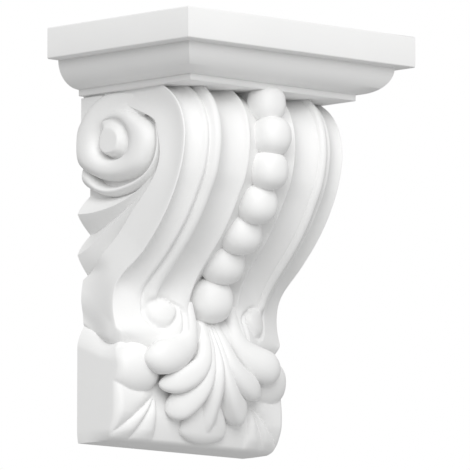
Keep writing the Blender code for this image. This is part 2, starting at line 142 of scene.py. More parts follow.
# Side volute, (out, up), and its groove: turn in degrees, radius, height of the groove
VOLUTE_CENTRE = (24.8, 158.2)
VOLUTE_GROOVE = [
    (33, 36.0, 54.6), (56.7, 30.2, 55.0), (85, 27.2, 56.4), (110, 26.8, 57.9), (127, 26.9, 58.0),
    (146, 27.4, 57.8), (176, 29.9, 57.5), (196, 29.0, 56.5), (217, 24.4, 55.0), (238, 21.4, 54.4),
    (272.6, 20.2, 54.2), (290, 21.2, 54.2), (313, 24.4, 54.2), (327, 27.1, 54.2), (337, 28.3, 54.2),
    (346, 29.1, 54.2), (356.5, 29.7, 54.2), (368.8, 29.2, 54.0), (383.5, 25.8, 53.4), (392, 23.6, 53.4),
    (401, 21.8, 55.4), (417, 19.4, 58.0), (435, 17.4, 58.9), (453, 15.6, 59.4), (468.8, 14.4, 59.5),
    (480, 13.7, 59.3), (492, 13.3, 58.4), (508.6, 12.6, 56.6), (533.4, 11.5, 54.6), (562.8, 10.4, 54.0),
    (600, 9.0, 53.8), (630, 8.5, 54.0), (655, 9.0, 54.8), (672, 9.7, 55.5), (695, 10.3, 55.9),
    (720, 10.6, 56.0), (745, 11.0, 56.3), (757, 11.4, 56.6), (771, 12.2, 57.3), (790, 12.5, 57.9),
    (813, 12.8, 58.7), (828, 13.3, 59.1), (840, 13.7, 59.3),
]
# Crest of the band between two turns of the groove: turn in degrees and height
VOLUTE_CREST = [
    (33, 54.8), (50, 56.2), (60, 56.9), (75, 58.0), (90, 59.0), (120, 60.6), (150, 61.7), (180, 62.1),
    (240, 61.7), (300, 61.2), (340, 61.0), (380, 60.9), (410, 60.7), (440, 60.4), (480, 59.9),
]
# The first turn of the band, its last one, where the eye closes, and the step between rows, in degrees
BAND_START, BAND_END, EYE_END, TURN_STEP = 33, 480, 840, 3.0
# How round the band is at its inner and outer foot, and the turns over which the outer one softens
BAND_ROUND, BAND_RISE, BAND_SOFTER = 2.6, 0.62, 0.4
SOFTER_TURNS = (290, 350)
# The eye by turn: how far its flat top reaches, and its foot
VOLUTE_EYE_REACH = [
    (480, 7.4, 12.0), (495, 7.4, 11.8), (540, 7.2, 11.0), (585, 6.4, 9.8), (630, 5.2, 8.0), (675, 5.6, 9.4),
    (695, 5.8, 10.2), (720, 6.2, 10.6), (765, 6.6, 11.2), (810, 7.0, 11.2), (840, 7.4, 12.0),
]
VOLUTE_EYE_TOP = 61.1

# Sepals in the fork between volute and scroll: ridge (x, out, up) and half width
SEPALS = [
    [(57.2, -3, 146.0, 7.0), (58.0, 2.5, 141.0, 5.4), (58.6, 10.5, 135.6, 3.4), (58.8, 23.3, 132.6, 3.0),
     (58.5, 34.7, 133.8, 2.8), (57.7, 45.3, 137.2, 2.4), (57.2, 51, 141.0, 2.0), (56.9, 54.6, 145.4, 1.7),
     (56.8, 57.9, 156.5, 1.3), (56.0, 55.6, 165.5, 0.9), (53.0, 51.5, 170, 0.6)],
    [(60.6, -3, 122.3, 11.2), (60.2, 8, 121.9, 9.8), (59.6, 18, 122.8, 8.2), (58.9, 29, 125.0, 6.2),
     (58.0, 39, 128.6, 4.2), (56.8, 48, 134.0, 2.6), (55.0, 54, 139.5, 1.4), (51.0, 58, 144, 0.5)],
    [(60.6, -3, 99.4, 12.2), (60.2, 6, 102.4, 10.8), (59.4, 16, 108.5, 8.8), (58.4, 28, 116.5, 6.4),
     (57.4, 38, 123.6, 4.2), (56.2, 46, 129.6, 2.4), (54.6, 52, 135, 1.2), (51.0, 56, 140, 0.5)],
]
# How round each sepal's back is across: 1 is nearly a plain ridge, 2 nearly a parabola
SEPAL_BACKS = [2.2, 1.25, 1.25]

# Beads: middle (out, up) and radius
BEADS = [
    (81.6, 178.8, 10.4), (85.8, 161.2, 10.6), (83.4, 143.2, 10.6), (74.4, 126.2, 11.0), (61.6, 111.6, 11.6),
    (47.6, 97.2, 12.1), (38.0, 77.8, 12.4),
]
BEAD_WIDE, BEAD_SQUARE = 0.95, 2.35

# Foot block: rounding of its front corners, how far its front falls back to them, and from where inwards
FOOT_CORNER, FOOT_FALL, FOOT_FLAT = 2.8, 2.2, 3.5
# Its top edge: up by x along the front, and up by out along the side
FOOT_TOP_FRONT = ([0, 20, 40, 52], [48, 48.5, 49.2, 50.4, 52.0])
FOOT_TOP_SIDE = ([-PAST_WALL, 8, 17, 24, 29], [64, 59, 54, 51.6, 51.2])
# Where the side's own columns stand, from where out the front's easing starts, and where the front begins
FOOT_SIDE_OUT = np.array([-PAST_WALL, 8, 17, 24])
FOOT_FRONT_FROM, FOOT_FRONT_AT = 8, 27
# Its rows by share of the height, and its front's columns: the stops, and how many there are between them
FOOT_ROWS, FOOT_ROW_COUNTS = [0, 0.16, 0.8, 1], [12, 56, 10]
FOOT_COLUMNS, FOOT_COLUMN_COUNTS = [30, 0], [36, 22]
# Undercut of the front above the underside: its share of the height, its depth, and what the corner adds
UNDERCUT_SHARE, UNDERCUT, UNDERCUT_CORNER, UNDERCUT_CORNER_FROM = 0.3, 3.8, 2.0, (38, 56)
# Easing of the block's edges: in from the front below and above, and in from the side below and above
BOTTOM_EASE, TOP_EASE, SIDE_EASE, SIDE_EASE_FRONT, SIDE_EASE_TOP = 1.8, 1.0, 0.8, 2.4, 4.6
# The share of the height that each of the four takes, and where across the side's two end
BOTTOM_SHARE, TOP_SHARE, SIDE_SHARE, SIDE_TOP_SHARE, SIDE_EASE_FROM = 0.04, 0.2, 0.12, 0.18, 30
# The block's lid inside the heel, as shares of its top edge and a height
LID_SHARES, LID_PLACE = (0.75, 0.6, 0), (0, -1, 66)

# Ground leaf on the foot block: where its creases meet, and the turn of each, in degrees down from across
LEAF_ROOT = (33.6, 26.6)
CREASE_TURNS = [-16, 41, 60, 92]
CREASE_SWELLS = [2.8, 2.2, 2.2]
# Over what lengths the swells run out: from the root, from the side, and from the underside
ROOT_REACH, SIDE_REACH, UNDERSIDE_HEIGHTS = 12, 6, (-2, 7)
# The cushion of the leaf behind, (x, up), over the first crease
CUSHION = (47, 38.8)
CUSHION_REACH = (16, 13.0)
CUSHION_RISE = 7.8

# Lobes of the leaf on the right: middle line (x, out, up), half width and half thickness
LOBES = [
    [(15.5, 36.6, 75, 3.2, 3.2), (16, 38.4, 65, 4.6, 4.0), (19.5, 40.4, 54.5, 6.8, 5.0),
     (28.5, 42.2, 47.2, 8.8, 6.2), (39, 42.0, 44.0, 9.0, 6.2), (47.6, 39.0, 43.4, 6.8, 5.4)],
    [(4, 33, 69, 2.4, 2.4), (7, 41.0, 54, 3.6, 3.2), (11.5, 44.0, 42.5, 5.0, 4.0),
     (19, 43.4, 35.8, 6.4, 4.6), (28, 41.0, 31.8, 6.4, 4.4), (36.2, 37.8, 30.2, 5.2, 3.2)],
    [(2.4, 33, 69, 2.0, 2.0), (4, 41.8, 51, 2.8, 2.8), (6.5, 44.0, 38, 3.6, 3.4), (11, 42.6, 28.4, 5.0, 4.2),
     (17, 39.4, 22.6, 7.0, 4.6), (22.6, 36.4, 19.4, 8.0, 4.6), (27.6, 33.4, 17.8, 7.8, 4.0)],
]
# How round each lobe's back is across, and the share of its length that its blunt tip takes
LOBE_BACKS = [2.0, 2.4, 2.5]
LOBE_TIPS = [0.2, 0.2, 0.14]
# The middle blade, the cup that it lies in, and the low belly under all
BLADE = [
    (0, 33, 69, 2.4, 2.2), (0, 41.0, 53, 3.0, 3.0), (0, 44.8, 41, 3.8, 3.6), (0, 43.4, 30, 4.8, 4.0),
    (0, 39.4, 21, 5.4, 4.4), (0, 34.8, 12.0, 5.8, 4.4), (0, 30.0, 2.8, 4.6, 3.8),
]
BLADE_BACK = 1.5
CUP = [(0, 35, 34, 4, 3.4), (0, 35.4, 22, 10, 4.0), (0, 33.0, 10.5, 16, 4.2), (0, 30.2, 1.6, 14.6, 3.6)]
BELLY = (0, 32.5, 44)
BELLY_RADII = (30, 9, 21)

# Above this angle between two faces, in degrees, their edge is drawn sharp
SHARP_ANGLE = 50

# The photograph's camera: its frame and focal length in pixels, and its sensor in millimetres
FRAME_PIXELS, FOCAL_PIXELS, SENSOR = 470.0, 9000.0, 36.0
# Its place from the underside at the wall, and its axes
CAMERA_PLACE = (-3.23143, -3.51907, -0.47662)
CAMERA_RIGHT = (0.73087, -0.68251, 0.00129)
CAMERA_UP = (-0.08499, -0.08914, 0.99239)
CAMERA_FORWARD = (0.67720, 0.72542, 0.12316)
# The studio: half the floor's size and its height, and the places and size of its two lights
FLOOR_REACH, FLOOR_UP = 12.0, -1.1
KEY_PLACE, FILL_PLACE, LIGHT_SIZE = (-0.98, -1.17, 0.78), (1.1, -1.9, -0.1), 1.3
LIGHT_AIM = (0, -0.05, 0)


def natural_cubic(knots, values):
    """The natural cubic through rows of values at the knots, as a function of the place along them."""
    step = np.diff(knots)
    size = len(knots)
    system = np.eye(size)
    slopes = np.zeros_like(values)
    for i in range(1, size - 1):
        system[i, i - 1:i + 2] = step[i - 1], 2 * (step[i - 1] + step[i]), step[i]
        slopes[i] = 6 * ((values[i + 1] - values[i]) / step[i] - (values[i] - values[i - 1]) / step[i - 1])
    bend = np.linalg.solve(system, slopes)

    def evaluate(at):
        i = np.clip(np.searchsorted(knots, at) - 1, 0, size - 2)
        after = ((at - knots[i]) / step[i])[..., None]
        before = 1 - after
        curve = (before ** 3 - before) * bend[i] + (after ** 3 - after) * bend[i + 1]
        return before * values[i] + after * values[i + 1] + curve * step[i][..., None] ** 2 / 6

    return evaluate


def spline(points, count):
    """Evenly spaced points on a natural cubic through points, placed by their first two or three values."""
    points = np.array(points, dtype=float)
    size, width = points.shape
    place = 2 if width < 4 else 3
    knots = run_length(points[:, :place])
    evaluate = natural_cubic(knots, points)
    fine = np.linspace(0, knots[-1], 60 * size)
    length = run_length(evaluate(fine)[:, :place])
    return evaluate(np.interp(np.linspace(0, length[-1], count), length, fine))


def run_length(points):
    """Length along a path up to each of its points."""
    return np.concatenate([[0.0], np.cumsum(np.linalg.norm(np.diff(points, axis=0), axis=1))])


def smooth_table(table, at):
    """A table of (place, value...) rows read at any places, on a natural cubic through its rows."""
    table = np.array(table, dtype=float)
    found = natural_cubic(table[:, 0], table[:, 1:])(np.asarray(at, dtype=float))
    return found[..., 0] if found.shape[-1] == 1 else found


def spaced(stops, counts):
    """Places from the first stop to the last, evenly spaced from each stop to the next by their counts."""
    places = [np.linspace(a, b, n, endpoint=False) for a, b, n in zip(stops, stops[1:-1], counts)]
    return np.concatenate(places + [np.linspace(stops[-2], stops[-1], counts[-1])])


def outer_side(path):
    """Unit vectors square to a downward path in the (out, up) plane, on its outer side."""
    tangent = np.gradient(path, axis=0)
    tangent /= np.linalg.norm(tangent, axis=1)[:, None]
    return np.stack([-tangent[:, 1], tangent[:, 0]], axis=1)


def ease(value, low, high):
    """Smooth step from 0 at low to 1 at high: 3 s^2 - 2 s^3 of the share s of the way."""
    share = np.clip((value - low) / (high - low), 0, 1)
    return share * share * (3 - 2 * share)


def fade(value, low, high):
    """Smooth step from 1 at low to 0 at high."""
    return ease(-value, -high, -low)


def dip(value, middle, reach):
    """A shallow hollow: 1 at its middle, falling as a parabola to 0 at its edges."""
    return np.clip(1 - ((value - middle) / reach) ** 2, 0, None)


def in_metres(parts):
    """Parts (x, out, up) to metres in the frame."""
    parts = np.asarray(parts, dtype=float) * PART
    return np.stack([parts[..., 0], -parts[..., 1], parts[..., 2] + CAD_BOX[0].z], axis=-1)


def shell_object(name, vertices, faces):
    """A closed shell from points and faces: triangulated, its doubles merged, its faces turned outwards."""
    mesh = bpy.data.meshes.new(name)
    mesh.from_pydata(np.asarray(vertices, dtype=float).tolist(), [], faces)
    shell = bmesh.new()
    shell.from_mesh(mesh)
    bmesh.ops.remove_doubles(shell, verts=shell.verts, dist=1e-6)
    bmesh.ops.triangulate(shell, faces=shell.faces)
    bmesh.ops.recalc_face_normals(shell, faces=shell.faces)
    if shell.calc_volume(signed=True) < 0:
        bmesh.ops.reverse_faces(shell, faces=shell.faces)
    shell.to_mesh(mesh)
    shell.free()
    mesh.shade_smooth()
    item = bpy.data.objects.new(name, mesh)
    bpy.context.scene.collection.objects.link(item)
    return item


def loft(name, loops):
    """A closed solid through closed loops of points, (loop, point, xyz), capped at both ends."""
    count, size = loops.shape[:2]
    ring = np.arange(size)
    start = (np.arange(count - 1) * size)[:, None]
    following = np.roll(ring, -1)
    corners = [start + ring, start + following, start + size + following, start + size + ring]
    faces = np.stack(corners, axis=-1).reshape(-1, 4).tolist()
    faces.append(ring[::-1].tolist())
    faces.append(((count - 1) * size + ring).tolist())
    return shell_object(name, loops.reshape(-1, 3), faces)


def dome(name, centre, radii, around, rings, square=2.0):
    """An ellipsoid with its poles along X. A square above 2 fills it out: |x|^s + |y|^s + |z|^s = 1."""
    near_pole = 0.03
    turn = np.linspace(0, 2 * np.pi, around, endpoint=False)
    fall = np.linspace(near_pole, np.pi - near_pole, rings)[:, None]
    axes = [np.cos(fall) + 0 * turn, np.sin(fall) * np.cos(turn), np.sin(fall) * np.sin(turn)]
    loops = np.stack(axes, axis=-1)
    loops /= (np.abs(loops) ** square).sum(axis=-1, keepdims=True) ** (1 / square)
    loops *= radii
    return loft(name, in_metres(loops + np.array(centre)))


def both_sides(right):
    """Closed loops from their right half, (loop, point, (x, out, up)), whose ends lie on the middle."""
    left = (right * np.array([-1.0, 1.0, 1.0]))[:, 1:-1][:, ::-1]
    return np.concatenate([right, left], axis=1)


def shelf(sizes):
    """The moulded shelf: a section of (inset, up) carried round three mitred sides, flat at the wall."""
    half = (CAD_BOX[1].x - CAD_BOX[0].x) / 2 / PART
    deep = (CAD_BOX[1].y - CAD_BOX[0].y) / PART
    rounding = sizes.fascia_ease / PART
    fascia, step = sizes.fascia_height / PART, sizes.soffit_step / PART
    ovolo_out, ovolo_drop = sizes.ovolo_out / PART, sizes.ovolo_drop / PART
    fillet = sizes.fillet_height / PART
    soffit_up = PARTS_HIGH - fascia
    bottom = soffit_up - ovolo_drop
    seam, fillet_edge = 0.05, 0.35

    turn = np.linspace(0, np.pi / 2, 5)
    section = [(rounding * (1 - np.sin(t)), PARTS_HIGH - rounding * (1 - np.cos(t))) for t in turn]
    section += [(rounding * (1 - np.cos(t)), soffit_up + rounding * (1 - np.sin(t))) for t in turn]
    section += [(step, soffit_up - seam)]
    for t in np.linspace(0, np.pi / 2, 25):
        fallen = 2 * seam + (ovolo_drop - 2 * seam) * np.sin(t)
        section.append((step + ovolo_out * (1 - np.cos(t)), soffit_up - fallen))
    section.append((step + ovolo_out, bottom - fillet + fillet_edge))
    section.append((step + ovolo_out + fillet_edge, bottom - fillet))
    loops = []
    for inset, up in section:
        side, front = half - inset, deep - inset
        across = np.linspace(-side, side, 9)
        along = np.linspace(-PAST_WALL, front, 7)
        loop = [(x, -PAST_WALL, up) for x in across[:-1]]
        loop += [(side, out, up) for out in along[:-1]]
        loop += [(x, front, up) for x in across[::-1][:-1]]
        loop += [(-side, out, up) for out in along[::-1][:-1]]
        loops.append(loop)
    return loft("shelf", in_metres(np.array(loops)))


def front_relief(across, x, up, strip):
    """Rise of the scroll's front over its line, at places across the mouldings, at their true x, and up.

    Above the heel a crown falls as a cube to its sides. Parabolas are cut into it for strip, flute and
    cavetto, with rib, quirk and lip between them. The heel is a blunt ridge: its rise less a hyperbola.
    """
    at_heel = fade(up, *HEEL_HEIGHTS)
    carved = ease(up, *CARVED_HEIGHTS)
    crown = CROWN_RISE + CROWN_SWELL * ease(up, *SWELL_UP) * fade(up, *SWELL_DOWN)
    crown = crown * (1 - (across / CROWN_HALF) ** 3)
    aside = x - RIDGE_AT
    heel = RIDGE_RISE - RIDGE_TILT * aside - RIDGE_FALL * np.sqrt(aside ** 2 + RIDGE_BLUNT)
    heel = heel - ROOT_DEPTH * dip(x, 0, ROOT_HALF) * ease(up, *ROOT_HEIGHTS)
    crown = (1 - at_heel) * crown + at_heel * heel
    hollow = -STRIP_DEPTH * dip(across, 0, strip * STRIP_SHARE)
    flute = -FLUTE_DEPTH * dip(across, (strip + FLUTE_END) / 2, (FLUTE_END - strip) / 2)
    deeper = CAVETTO_DEEPER * fade(up, *DEEPER_DOWN) * ease(up, *DEEPER_UP)
    cavetto = (-CAVETTO_DEPTH - deeper) * dip(across, *CAVETTO)
    ridge = STRIP_EDGE_RISE * dip(across, strip, STRIP_EDGE_HALF)
    rib = RIB_RISE * np.sqrt(dip(across, *RIB)) * ease(up, *RIB_HEIGHTS)
    quirk = -QUIRK_DEPTH * dip(across, *QUIRK) * ease(up, *QUIRK_HEIGHTS)
    lip = LIP_RISE * dip(across, *LIP) * ease(up, *LIP_HEIGHTS)
    surface = crown + carved * (hollow + flute + cavetto + ridge) + rib + quirk + lip
    moat, curl, eye = front_eye(x, up)
    return surface + moat + curl + eye


def front_eye(x, up):
    """The heel's round eye, (1 - (r / R)^2.2)^0.7, its moat, and the groove that curls in round it."""
    aside, above = x - FRONT_EYE[0], up - FRONT_EYE[1]
    reach = np.hypot(aside, above)
    turn = np.degrees(np.arctan2(above, aside)) % 360
    eye = FRONT_EYE_RISE * np.clip(1 - (reach / FRONT_EYE_RADIUS) ** 2.2, 0, None) ** 0.7
    closed = 1 - ease(turn, *MOAT_OPENS) * fade(turn, *MOAT_CLOSES)
    moat = -MOAT_DEPTH * dip(reach, FRONT_EYE_RADIUS + MOAT_AT, MOAT_HALF) * closed
    middle = smooth_table(CURL, np.clip(turn, CURL[0][0], CURL[-1][0]))
    curl = -CURL_DEPTH * dip(reach, middle, CURL_HALF) * ease(turn, *CURL_START) * fade(turn, *CURL_END)
    return moat, curl, eye


def scroll_lines(count):
    """Front line, its outer side, and the way back from it to the side band's back line."""
    line = spline(FRONT_LINE, count)
    fine = spline(FRONT_LINE, 600)
    knots = run_length(fine)
    marks = [knots[np.argmin(np.linalg.norm(fine - point, axis=1))] for point in FRONT_LINE]
    at = np.linspace(0, knots[-1], count)
    back = np.stack([smooth_table(list(zip(marks, [p[k] for p in BACK_LINE])), at) for k in (0, 1)], axis=1)
    return line, outer_side(line), back - line


def drawn_in_at_wall(place):
    """How far the heel's side is drawn in near the wall: a parabola over height about its widest place."""
    near_wall = fade(place[..., 0], 0, NEAR_WALL) * fade(place[..., 1], *NEAR_WALL_HEIGHTS)
    above = (place[..., 1] - WIDEST_UP) / WIDEST_HALF
    return near_wall * np.clip(WIDEST_IN + WIDEST_BEND * above ** 2, 0, DRAWN_IN_MOST)


def scroll(sizes):
    """The S-scroll: its front section is carried down the front line, with a hollowed band down each side.

    The arris curls in under the heel by 1 - sqrt(1 - s^3) of the share s of the way down.
    """
    line, normal, back = scroll_lines(170)
    up = line[:, 1:]
    at_heel = fade(up, *HEEL_HEIGHTS)
    lowest = np.minimum.accumulate(up, axis=0)
    half = (sizes.scroll_width + (sizes.heel_width - sizes.scroll_width) * at_heel) / 2 / PART
    fall = np.clip((CURL_IN_FROM - lowest) / (CURL_IN_FROM - CURL_IN_TO), 0, 1)
    arris = half - ARRIS_INSET - CURL_IN * (1 - (1 - fall ** 3) ** 0.5)
    strip = sizes.strip_width / PART / 2
    across = spaced([0, strip - STRIP_INSIDE, strip + STRIP_OUTSIDE, *MOULDING_ENDS], MOULDING_COLUMNS)
    share = across / MOULDING_ENDS[-1]
    x = share * arris
    rise = front_relief(across + 0 * up, x, up, strip)
    front = line[:, None] + rise[..., None] * normal[:, None]

    turn = np.linspace(0, np.pi / 2, 5)[1:]
    deep = np.linalg.norm(back, axis=1)[:, None]
    edge = half - arris
    edge_x = arris + edge * np.sin(turn)
    edge_share = EDGE_SHARE * (1 - np.exp(-(ARRIS_INSET + edge) / deep / EDGE_SHARE)) * (1 - np.cos(turn))
    corner = front[:, -1:] + edge_share[..., None] * back[:, None]

    away = BAND_SHARES
    side_x = half - BAND_HOLLOW * np.sin(np.pi * away) - BAND_EASE
    begin = edge_share[:, -1:]
    side = line[:, None] + back[:, None] * (begin + (1 - begin) * away)[..., None]
    first = corner[:, -1:] - (line[:, None] + back[:, None] * begin[..., None])
    side = side + first * (1 - away)[None, :, None]
    side_x = side_x - drawn_in_at_wall(side)
    edge_x = edge_x - drawn_in_at_wall(corner) * np.sin(turn)
    inner_x = np.array([UNDER_GROUND, 0.0]) + 0 * half
    inner = np.repeat(side[:, -1:], 2, axis=1)

    across_all = np.concatenate([x, edge_x, side_x, inner_x], axis=1)
    out_up = np.concatenate([front, corner, side, inner], axis=1)
    right = np.concatenate([across_all[..., None], out_up], axis=-1)
    return loft("scroll", in_metres(both_sides(right)))


def plate(name, outline, half):
    """A flat plate across the corbel: an (out, up) outline between its two sides."""
    outline = np.array(outline, dtype=float)
    loops = [np.column_stack([np.full(len(outline), x), outline]) for x in (-half, half)]
    return loft(name, in_metres(np.array(loops)))


def core():
    """The plain middle behind the scroll, whose sides are the side carving's ground, and its top plates."""
    line, _, back = scroll_lines(60)
    middle = line + 0.5 * back
    middle = middle[(middle[:, 0] > CORE_FROM[0]) & (middle[:, 1] > CORE_FROM[1])]
    yield plate("core", [(-PAST_WALL, middle[0, 1]), *middle, (-PAST_WALL, middle[-1, 1])], GROUND)
    yield plate("corner", CORNER_PLATE, CORNER_HALF)
    yield plate("crown", CROWN_PLATE, CROWN_PLATE_HALF)
    yield plate("bead_pad", BEAD_PAD, BEAD_PAD_HALF)


def around_volute(angle, distance, x):
    """Places (x, out, up) at a turn in degrees and a distance from the volute's centre."""
    angle = np.radians(angle)[:, None] + 0 * distance
    out = VOLUTE_CENTRE[0] + distance * np.cos(angle)
    up = VOLUTE_CENTRE[1] + distance * np.sin(angle)
    return np.stack([x, out, up], axis=-1)


def grid_faces(rows, columns, first):
    """Four-sided faces over a grid of points whose numbers start at first."""
    at = first + np.arange(rows - 1)[:, None] * columns + np.arange(columns - 1)
    return np.stack([at, at + 1, at + columns + 1, at + columns], axis=-1).reshape(-1, 4).tolist()


def side_volute():
    """The coiled band and its eye as one height over turn and radius.

    The groove is a spiral r(turn). Between it and its own next turn the band arches up to its crest, and
    inside the last turn lies the eye: a flat-topped dome in its hollow. The edge drops to below the ground.
    """
    turns = np.arange(BAND_START, BAND_END + TURN_STEP / 2, TURN_STEP)
    inner_turns = np.arange(BAND_END, EYE_END + TURN_STEP / 2, TURN_STEP)
    start, following = smooth_table(VOLUTE_GROOVE, turns), smooth_table(VOLUTE_GROOVE, turns + 360)
    share = 0.5 - 0.5 * np.cos(np.linspace(0, np.pi, 17))
    radius = start[:, :1] * (1 - share) + following[:, :1] * share
    base = start[:, 1:] * (1 - share) + following[:, 1:] * share
    soft = ease(turns, *SOFTER_TURNS)[:, None]
    power = np.where(share < 0.5, BAND_RISE, BAND_RISE + BAND_SOFTER * soft)
    arch = (1 - np.abs(2 * share - 1) ** BAND_ROUND) ** power
    crest = smooth_table(VOLUTE_CREST, turns)[:, None]
    height = base + np.maximum(crest - base, 0) * arch

    edge = smooth_table(VOLUTE_GROOVE, inner_turns)
    outward = 1 - np.linspace(0, 1, 22) ** 1.1
    eye_radius = edge[:, :1] * outward
    flat, sunk = smooth_table(VOLUTE_EYE_REACH, inner_turns).T[..., None]
    sunk = np.minimum(sunk, edge[:, :1] * 0.98)
    eye_height = edge[:, 1:] + (VOLUTE_EYE_TOP - edge[:, 1:]) * (1 - ease(eye_radius, flat, sunk))

    band = around_volute(turns, radius, height)
    eye = around_volute(inner_turns, eye_radius, eye_height)
    eye[:, -1] = (VOLUTE_EYE_TOP, *VOLUTE_CENTRE)
    points = np.concatenate([band.reshape(-1, 3), eye.reshape(-1, 3)])
    faces = grid_faces(*band.shape[:2], 0) + grid_faces(*eye.shape[:2], band.shape[0] * band.shape[1])
    return closed_down("volute", points, faces)


def closed_down(name, points, faces):
    """A relief closed to a solid: its doubles are welded, and its rim goes down under the ground."""
    mesh = bpy.data.meshes.new(name)
    mesh.from_pydata(points.tolist(), [], faces)
    shell = bmesh.new()
    shell.from_mesh(mesh)
    bmesh.ops.remove_doubles(shell, verts=shell.verts, dist=0.001)
    rim = [edge for edge in shell.edges if len(edge.link_faces) == 1]
    dropped = bmesh.ops.extrude_edge_only(shell, edges=rim)["geom"]
    for vertex in (item for item in dropped if isinstance(item, bmesh.types.BMVert)):
        vertex.co.x = UNDER_GROUND
    bmesh.ops.holes_fill(shell, edges=[edge for edge in shell.edges if len(edge.link_faces) == 1])
    shell.to_mesh(mesh)
    shell.free()
    places = np.empty(len(mesh.vertices) * 3)
    mesh.vertices.foreach_get("co", places)
    faces = [list(face.vertices) for face in mesh.polygons]
    return shell_object(name, in_metres(places.reshape(-1, 3)), faces)


def sepals():
    """The overlapping sepals in the fork between volute and scroll: blades with a rounded back.

    Across a sepal its back lifts by (1 - |offset| ^ back) ^ 0.9.
    """
    rows, buried = 48, GROUND - 1
    offset = np.cos(np.linspace(0, np.pi, 15))
    for points, back in zip(SEPALS, SEPAL_BACKS):
        lift = (1 - np.abs(offset) ** back) ** 0.9
        ridge = spline(points, rows)
        x = buried + (ridge[:, :1] - buried) * lift
        reach = (ridge[:, 3:] * offset)[..., None]
        out_up = ridge[:, None, 1:3] + reach * outer_side(ridge[:, 1:3])[:, None]
        loops = np.concatenate([x[..., None], out_up], axis=-1)
        keel = np.concatenate([np.full((rows, 1), UNDER_GROUND), ridge[:, 1:3]], axis=1)[:, None]
        yield loft("sepal", in_metres(np.concatenate([loops, keel], axis=1)))


def beads(sizes):
    """The string of beads down the middle, each pressed against the next."""
    for out, up, radius in BEADS:
        radius = radius * sizes.bead_size
        wide = radius * BEAD_WIDE
        yield dome("bead", (0, out, up), (wide, wide, radius), around=44, rings=27, square=BEAD_SQUARE)


def foot(sizes):
    """The foot block: its front is a height over across and up, with the ground leaf in low relief."""
    half, deep = sizes.foot_width / 2 / PART, sizes.foot_depth / PART
    up_share = spaced(FOOT_ROWS, FOOT_ROW_COUNTS)[:, None]
    turn = np.linspace(0, np.pi / 2, 9)
    corner_x = half - FOOT_CORNER * (1 - np.cos(turn))
    corner_out = deep - FOOT_FALL - FOOT_CORNER * (1 - np.sin(turn))
    flat_x = spaced([half - FOOT_FLAT, *FOOT_COLUMNS], FOOT_COLUMN_COUNTS)
    flat_out = deep - FOOT_FALL * np.clip(flat_x / (half - FOOT_CORNER), 0, 1) ** 3.2
    x = np.concatenate([half + 0 * FOOT_SIDE_OUT, corner_x, flat_x])
    out = np.concatenate([FOOT_SIDE_OUT, corner_out, flat_out])
    frontness = np.clip((out - FOOT_FRONT_FROM) / (deep - FOOT_FALL - FOOT_FRONT_FROM), 0, 1)

    under = np.clip(1 - up_share / UNDERCUT_SHARE, 0, 1) ** 1.6
    bottom_ease = BOTTOM_EASE * np.clip(1 - up_share / BOTTOM_SHARE, 0, 1) ** 2
    bottom_ease = bottom_ease + under * (UNDERCUT + UNDERCUT_CORNER * ease(x, *UNDERCUT_CORNER_FROM))
    top_ease = TOP_EASE * np.clip((up_share - 1 + TOP_SHARE) / TOP_SHARE, 0, 1) ** 2
    up_front = np.interp(x, [*FOOT_TOP_FRONT[0], half], FOOT_TOP_FRONT[1])
    up = up_share * np.where(out > FOOT_FRONT_AT, up_front, np.interp(out, *FOOT_TOP_SIDE))
    side_ease = (SIDE_EASE + SIDE_EASE_FRONT * frontness) * np.clip(1 - up_share / SIDE_SHARE, 0, 1) ** 2
    top = np.clip((up_share - 1 + SIDE_TOP_SHARE) / SIDE_TOP_SHARE, 0, 1) ** 1.6
    side_ease = side_ease + SIDE_EASE_TOP * top
    place_x = x - side_ease * np.clip((x - SIDE_EASE_FROM) / (half - SIDE_EASE_FROM), 0, 1)
    place_out = out - (bottom_ease + top_ease) * frontness + ground_leaf(place_x, up, half) * frontness
    right = np.stack([place_x, place_out, up], axis=-1)
    lid = right[-1:] * np.array(LID_SHARES) + np.array(LID_PLACE)
    right = np.concatenate([right, lid])
    left = (right * np.array([-1.0, 1.0, 1.0]))[:, ::-1][:, 1:]
    return loft("foot", in_metres(np.concatenate([right, left], axis=1)))


def ground_leaf(x, up, half):
    """Low relief of the leaf behind, and its cushion.

    Between two creases that fan from its root it swells as sin(pi s^1.25)^0.6 of the share s of the way
    between them. The cushion is (1 - dx^2 - dy^2)^0.55, and the higher of the two counts.
    """
    across, down = x - LEAF_ROOT[0], LEAF_ROOT[1] - up
    distance = np.hypot(across, down)
    angle = np.degrees(np.arctan2(down, across))
    relief = 0 * distance
    for first, last, swell in zip(CREASE_TURNS[:-1], CREASE_TURNS[1:], CREASE_SWELLS):
        share = np.clip((angle - first) / (last - first), 0, 1)
        relief = relief + swell * np.sin(np.pi * share ** 1.25) ** 0.6
    relief = relief * ease(distance, 0, ROOT_REACH) * ease(half + 2.0 - x, 0, SIDE_REACH)
    relief = relief * ease(up, *UNDERSIDE_HEIGHTS)
    inside = 1 - ((x - CUSHION[0]) / CUSHION_REACH[0]) ** 2 - ((up - CUSHION[1]) / CUSHION_REACH[1]) ** 2
    cushion = CUSHION_RISE * np.clip(inside, 0, None) ** 0.55
    return np.maximum(relief, cushion)


